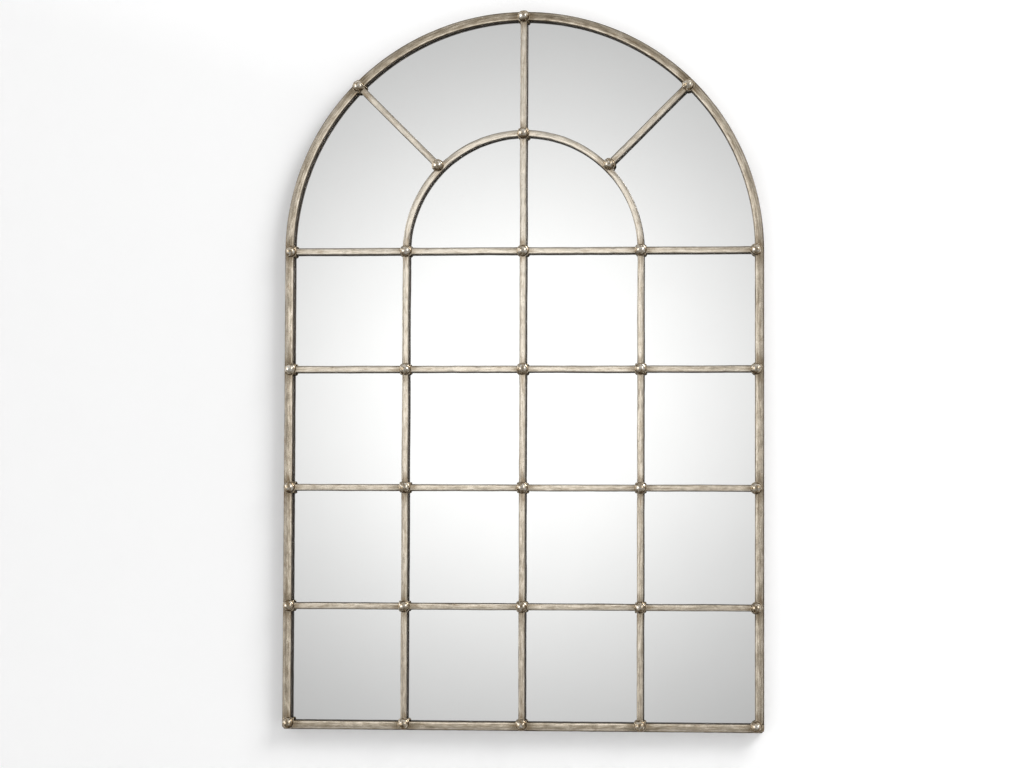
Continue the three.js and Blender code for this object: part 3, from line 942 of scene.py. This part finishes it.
def bead(piece, middle, across, deep, seed):
    """A lump of weld in the corner between two bars."""
    loops = []
    for i in range(BEAD_RINGS + 1):
        polar = math.pi * (0.04 + 0.92 * i / BEAD_RINGS)
        loop = []
        for turn in circle(BEAD_SEGMENTS):
            ray = on_sphere(polar, turn)
            lump = 1 + 0.30 * noise.noise(ray * 2.2 + Vector((seed, 0, seed)))
            lump += 0.14 * noise.noise(ray * 6.0 + Vector((seed, seed, 0)))
            x, z = (middle[k] + ray[k] * across * lump for k in (0, 2))
            spot = (x, min(BAR_BACK, middle[1] + ray.y * deep * lump), z)
            loop.append(piece.point(spot, crest=0.25 + 0.35 * (lump - 0.7)))
        loops.append(loop)
    piece.skin(loops)


def make_welds():
    """Small beads in the corners where bars meet."""
    corners = []  # (x, z, and the way out of the corner in x and z)
    for z in ROWS[:4]:
        for x in COLUMNS:
            edge = abs(x) > 1.5 * PANE_WIDTH
            half = FRAME_HALF if edge else BAR_HALF
            for dx in (-1, 1):
                if edge and dx * x > 0:
                    continue
                for dz in (-1, 1):
                    corners.append((x + dx * half, z + dz * BAR_HALF, dx, dz))
    for x in COLUMNS[1:4]:
        corners += [(x + dx * BAR_HALF, RAIL_Z + FRAME_HALF, dx, 1) for dx in (-1, 1)]
    corners += [(side * OPENING, RAIL_Z + FRAME_HALF, -side, 1) for side in (-1, 1)]
    for dx in (-1, 1):
        for dz in (-1, 1):
            corners.append((dx * BAR_HALF, INNER_RADIUS + dz * BAR_HALF, dx, dz))
        corners.append((dx * BAR_HALF, OPENING, dx, -1))
    for side in (-1, 1):
        ray = Vector((side, 1)).normalized()
        along = Vector((ray.y, -ray.x))
        for turn in (-1, 1):
            for radius, way in ((INNER_RADIUS + BAR_HALF, 1), (OPENING, -1)):
                spot = ray * radius + along * turn * BAR_HALF
                out = along * turn + ray * way
                corners.append((spot.x, spot.y, out.x, out.y))
    piece = Mesh("crest")
    for k, (x, z, dx, dz) in enumerate(corners):
        size = 0.5 + 0.5 * noise.noise((k * 1.37, 4.2, 0.7))
        across = (1.7 + 1.5 * size + (0.6 if x < -0.3 else 0.0)) * MM
        deep = (2.6 + 2.6 * size) * MM
        shift = 0.35 * across
        middle = (x + dx * shift, BAR_FRONT + 2.2 * MM + deep * 0.55, z + dz * shift)
        bead(piece, middle, across, deep, k * 3.7)
    piece.build("weld_beads", [WELD], "frame_metal", sharp=70)


# ---------------- glass, board and hardware


def dress(node, materials, bevel=0.0, sharp=35.0):
    """Gives a CAD node its material, smooth shading and softened edges."""
    piece = nodes[node]
    piece.data.materials.clear()
    for material in materials:
        piece.data.materials.append(material)
    piece.data.shade_smooth()
    piece.data.set_sharp_from_angle(angle=math.radians(sharp))
    if bevel:
        modifier = piece.modifiers.new("softened_edges", "BEVEL")
        modifier.width = bevel
        modifier.segments = 2
        modifier.limit_method = "ANGLE"
        modifier.angle_limit = math.radians(40)
    return piece


def make_glass():
    pane = dress("mirror_glass", [SILVER, GLASS], sharp=30)
    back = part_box("mirror_glass")[1].y
    for polygon in pane.data.polygons:
        polygon.material_index = 0 if polygon.center.y > back - 0.01 * MM else 1


def make_ring(side, label):
    """A D of round wire with rounded corners, in the strap's barrel."""
    corner = RING_RADIUS - 0.2 * MM
    path = [Vector((corner * (1 - k / 8), 0.0)) for k in range(17)]
    for k in range(2, 35):
        angle = k / 36 * math.pi
        path.append(Vector((-math.cos(angle), -math.sin(angle))) * RING_RADIUS)
    count = len(path)
    for _ in range(3):  # rounds the corners
        path = [(path[i - 1] + 2 * path[i] + path[(i + 1) % count]) / 4 for i in range(count)]
    piece = Mesh()
    loops = []
    for i, spot in enumerate(path):
        along = (path[(i + 1) % count] - path[i - 1]).normalized()
        out = Vector((along.y, -along.x))
        loop = []
        for angle in circle(16):
            move = out * math.cos(angle) * WIRE_RADIUS
            x = side * HANGER_X + spot.x + move.x
            y = RING_AXIS_Y + math.sin(angle) * WIRE_RADIUS
            loop.append(piece.point((x, y, RING_AXIS_Z + spot.y + move.y)))
        loops.append(loop)
    piece.skin([*loops, loops[0]], closed_ends=False)
    made = piece.build(f"d_ring_{label}", [ZINC], "zinc_hardware", f"ring_{label}", sharp=80)
    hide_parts(f"hanging_ring_{label}")


def make_strap(side, label):
    """Sheet steel curled over the ring's wire, with a rounded lower end."""
    straight = STRAP_DROP - STRAP_END_RADIUS
    line = []  # (point nearer the board, point on the other face, half width)

    def flat(drop, half):
        z = RING_AXIS_Z - drop
        line.append(((BOARD_BACK, z), (BOARD_BACK + STRAP_THICKNESS, z), half))

    for k in range(13):
        drop = STRAP_DROP - STRAP_END_RADIUS * (1 - math.cos(k / 12 * math.pi / 2))
        away = max(0.0, drop - straight)
        round_half = math.sqrt(max(0.0, STRAP_END_RADIUS**2 - away * away))
        flat(drop, STRAP_HALF - STRAP_END_RADIUS + round_half)
    for k in range(1, 8):
        flat(straight * (1 - k / 8), STRAP_HALF)
    for k in range(25):
        angle = math.radians(180 - k / 24 * STRAP_CURL)
        outer, inner = (
            (RING_AXIS_Y + math.cos(angle) * radius, RING_AXIS_Z + math.sin(angle) * radius)
            for radius in (BARREL_RADIUS + STRAP_THICKNESS, BARREL_RADIUS)
        )
        line.append((outer, inner, STRAP_HALF))
    piece = Mesh()
    soft = 0.22 * MM
    loops = []
    for a, b, half in line:
        a, b = Vector(a), Vector(b)
        step = (b - a).normalized() * soft
        ring = [
            (-half + soft, a), (half - soft, a), (half, a + step), (half, b - step),
            (half - soft, b), (-half + soft, b), (-half, b - step), (-half, a + step),
        ]
        loops.append([piece.point((side * HANGER_X + x, p.x, p.y)) for x, p in ring])
    piece.skin(loops)
    made = piece.build(f"strap_hanger_{label}", [ZINC], "zinc_hardware", sharp=50)
    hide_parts(f"hanging_strap_{label}")


make_frame()
make_grille()
ball_nodes = sorted(name for name in nodes if name.startswith("ball_"))
for number, ball_node in enumerate(ball_nodes):
    make_ball(ball_node, 1.0 + number * 2.9)
make_welds()
make_glass()
dress("backing_board", [BOARD], bevel=0.5 * MM)
for sign, side_name in SIDES:
    make_ring(sign, side_name)
    make_strap(sign, side_name)
    dress(f"wall_bumper_{side_name}", [RUBBER], bevel=0.4 * MM)
    for number in (1, 2):
        dress(f"strap_screw_{side_name}_{number}", [ZINC], bevel=0.12 * MM)

# ---------------- wall, floor, light and camera

WALL_SPAN = 4.0
FLOOR_Z = -1.55
HOLE_INSET = 9 * MM  # the wall is open behind the mirror, where no view from the room sees it
PAINT_WHITE = 0.84
FADE_OVER = 1.4
PAINTED_LIGHT_BESIDE = (0.34, 0.39)  # painted light on the wall: where it begins and is full, right of the mirror
PAINTED_LIGHT_ABOVE, PAINTED_LIGHT_SLOPE = (0.14, 0.30), 0.3  # and above it, along a line that falls to the right


def pale_stage(name, brightness, painted_light, fade_start, single_sided):
    """Pale paint that keeps shadows and fades from sight, into the white, far from the mirror.

    brightness is a glow that only the camera sees, and painted_light is painted light: how much
    more of that glow there is to the right of the mirror and above it.
    """
    material, g = new_material(name)
    diffuse = g.add("ShaderNodeBsdfDiffuse")
    diffuse.inputs["Color"].default_value = (PAINT_WHITE, PAINT_WHITE, PAINT_WHITE, 1)
    glow = g.add("ShaderNodeEmission")
    rays = g.add("ShaderNodeLightPath")
    x, _, z = g.parts(g.place())
    # Painted light: more camera-only glow to the right of the mirror and above it, over the shade
    # there.
    beside = g.remap(x, *PAINTED_LIGHT_BESIDE)
    above = g.remap(g.plus(z, g.times(x, PAINTED_LIGHT_SLOPE)), *PAINTED_LIGHT_ABOVE)
    strength = g.plus(brightness, g.times(g.math("MAXIMUM", beside, above), painted_light))
    g.feed(glow.inputs["Strength"], g.times(rays.outputs["Is Camera Ray"], strength))
    lifted = g.add("ShaderNodeAddShader")
    g.feed(lifted.inputs[0], diffuse.outputs[0])
    g.feed(lifted.inputs[1], glow.outputs[0])
    clear = g.add("ShaderNodeBsdfTransparent").outputs[0]
    distance = g.add("ShaderNodeVectorMath", operation="LENGTH")
    g.feed(distance.inputs[0], g.place())
    fade = g.remap(distance.outputs["Value"], fade_start, fade_start + FADE_OVER, smooth=True)
    looking = g.plus(rays.outputs["Is Camera Ray"], rays.outputs["Is Transmission Ray"])

    def mix_shader(share, a, b):
        node = g.add("ShaderNodeMixShader")
        for socket, value in zip(node.inputs, (share, a, b)):
            g.feed(socket, value)
        return node.outputs[0]

    seen = mix_shader(g.times(fade, looking), lifted.outputs[0], clear)
    if single_sided:
        behind = g.add("ShaderNodeNewGeometry").outputs["Backfacing"]
        seen = mix_shader(behind, seen, clear)
    g.feed(g.add("ShaderNodeOutputMaterial").inputs[0], seen)
    return material


def make_stage():
    radius, bottom = OUTSIDE - HOLE_INSET, RAIL_Z - FRAME_HALF + HOLE_INSET
    halfway = RAIL_Z / 2
    angles = [math.pi * k / 48 for k in range(49)]
    hole = [(radius * math.cos(angle), radius * math.sin(angle)) for angle in angles]
    hole += [(-radius, halfway), (-radius, bottom), (0.0, bottom), (radius, bottom)]
    hole.append((radius, halfway))
    middle = Vector((0.0, -0.2))
    points = [(x, 0.0, z) for x, z in hole]
    for x, z in hole:
        away = (Vector((x, z)) - middle).normalized() * WALL_SPAN
        points.append((middle.x + away.x, 0.0, middle.y + away.y))
    count = len(hole)
    ahead = [(i + 1) % count for i in range(count)]
    mesh = bpy.data.meshes.new("wall")
    faces = [(i, ahead[i], count + ahead[i], count + i) for i in range(count)]
    mesh.from_pydata(points, [], faces)
    if mesh.polygons[0].normal.y > 0:
        mesh.flip_normals()
    look = {"brightness": 0.18, "painted_light": 0.09, "fade_start": 1.1, "single_sided": True}
    mesh.materials.append(pale_stage("wall_paint", **look))
    panel = new_object("wall", mesh)

    mesh = bpy.data.meshes.new("floor")
    left, right, near = -WALL_SPAN, WALL_SPAN, -2 * WALL_SPAN
    corners = [(left, near), (right, near), (right, 0.0), (left, 0.0)]
    mesh.from_pydata([(x, y, FLOOR_Z) for x, y in corners], [], [(0, 1, 2, 3)])
    look = {"brightness": 0.15, "painted_light": 0.0, "fade_start": 1.7, "single_sided": False}
    mesh.materials.append(pale_stage("floor_paint", **look))
    floor = new_object("floor", mesh)
    floor.visible_glossy = False


LAMP_TARGET = Vector((0, 0, -0.2))


def area_light(name, place, width, height, watts):
    """A lamp for matt surfaces only. Metal and glass see the painted studio instead."""
    data = bpy.data.lights.new(name, "AREA")
    data.shape = "RECTANGLE"
    data.size, data.size_y, data.energy = width, height, watts
    lamp = new_object(name, data)
    lamp.location = place
    lamp.rotation_euler = (Vector(place) - LAMP_TARGET).to_track_quat("Z", "Y").to_euler()
    lamp.visible_camera = lamp.visible_glossy = False


# The studio that metal and glass see. Directions are parts of a unit vector.
ROOM_LIGHT = 0.31
SPOT_ACROSS, SPOT_RISE = -0.0923, 0.0466  # x and z of the bright spot, per unit towards the room
SPOT_SPREAD, SPOT_LIGHT = 0.0735, 0.88
CEILING_LIGHT, FLOOR_LIGHT, ASIDE_LIGHT = 0.18, -0.14, 0.16
# Two soft boxes: direction across, half width, low and high edge, and light.
SOFT_BOXES = ((-0.76, 0.19, -0.20, 0.42, 2.3), (0.67, 0.11, 0.06, 0.62, 3.2))
BOX_BLUR = 0.05


def make_world():
    """White to the camera; metal and glass see a studio that is brightest behind the camera."""
    world = bpy.data.worlds.new("studio")
    bpy.context.scene.world = world
    g = Graph(world)
    x, y, z = g.parts(g.add("ShaderNodeTexCoord").outputs["Generated"])
    ahead = g.math("MAXIMUM", g.times(y, -1.0), 0.02)
    across = g.less(g.math("DIVIDE", x, ahead), SPOT_ACROSS)
    rise = g.less(g.math("DIVIDE", z, ahead), SPOT_RISE)
    spot = g.times(g.bell((across, SPOT_SPREAD), (rise, SPOT_SPREAD)), SPOT_LIGHT)
    ceiling = g.remap(z, 0.30, 0.75, 0.0, CEILING_LIGHT, smooth=True)
    ground = g.remap(z, -0.15, -0.75, 0.0, FLOOR_LIGHT, smooth=True)
    seen = g.plus(g.plus(ROOM_LIGHT, spot), g.plus(ceiling, ground))
    aside = g.plus(g.math("POWER", x, 2.0), g.math("POWER", z, 2.0))
    seen = g.plus(seen, g.remap(aside, 0.06, 0.30, 0.0, ASIDE_LIGHT, smooth=True))
    for place, half, low, high, light in SOFT_BOXES:
        beside = g.math("ABSOLUTE", g.less(x, place))
        box = g.remap(beside, half + BOX_BLUR, half - BOX_BLUR, 0.0, light, smooth=True)
        for edge, blur in ((low, BOX_BLUR), (high, -BOX_BLUR)):
            box = g.times(box, g.remap(z, edge - blur, edge + blur, smooth=True))
        seen = g.plus(seen, box)
    lit = g.remap(z, -0.6, 0.8, 0.34, 0.60)
    rays = g.add("ShaderNodeLightPath").outputs
    shiny = g.math("MAXIMUM", rays["Is Glossy Ray"], rays["Is Transmission Ray"])

    def blend(share, a, b):
        return g.plus(g.times(a, g.less(1.0, share)), g.times(b, share))

    strength = blend(rays["Is Camera Ray"], blend(shiny, lit, seen), 1.0)
    background = g.add("ShaderNodeBackground")
    background.inputs["Color"].default_value = (1, 1, 1, 1)
    g.feed(background.inputs["Strength"], strength)
    g.feed(g.add("ShaderNodeOutputWorld").inputs[0], background.outputs[0])


CAMERA_PLACE = Vector((0.455, -5.029, -0.442))
CAMERA_YAW, CAMERA_PITCH, CAMERA_ROLL = (math.radians(angle) for angle in (5.386, 2.662, 0.20))
SENSOR_WIDTH, LENS = 36.0, 113.45


def make_camera():
    """Level with the third row of panes, a little to the right, looking slightly up and left."""
    level = Vector((-math.sin(CAMERA_YAW), math.cos(CAMERA_YAW), 0)) * math.cos(CAMERA_PITCH)
    ahead = level + Vector((0, 0, math.sin(CAMERA_PITCH)))
    right = Vector((math.cos(CAMERA_YAW), math.sin(CAMERA_YAW), 0))
    up = right.cross(ahead)
    cos_roll, sin_roll = math.cos(CAMERA_ROLL), math.sin(CAMERA_ROLL)
    columns = (cos_roll * right + sin_roll * up, cos_roll * up - sin_roll * right, -ahead)
    data = bpy.data.cameras.new("camera")
    data.sensor_width, data.lens = SENSOR_WIDTH, LENS
    data.clip_start, data.clip_end = 0.1, 60.0
    camera = new_object("camera", data)
    rotation = Matrix(columns).transposed().to_4x4()
    camera.matrix_world = Matrix.Translation(CAMERA_PLACE) @ rotation
    bpy.context.scene.camera = camera


make_stage()
make_world()
make_camera()
area_light("key", (3.1, -2.9, 2.65), width=2.5, height=2.5, watts=152)
area_light("left_fill", (-2.4, -2.6, 0.0), width=1.8, height=1.6, watts=7)
area_light("back_fill", (-2.0, 3.4, 1.6), width=2.4, height=2.4, watts=110)
bpy.context.scene.view_settings.view_transform = "Standard"
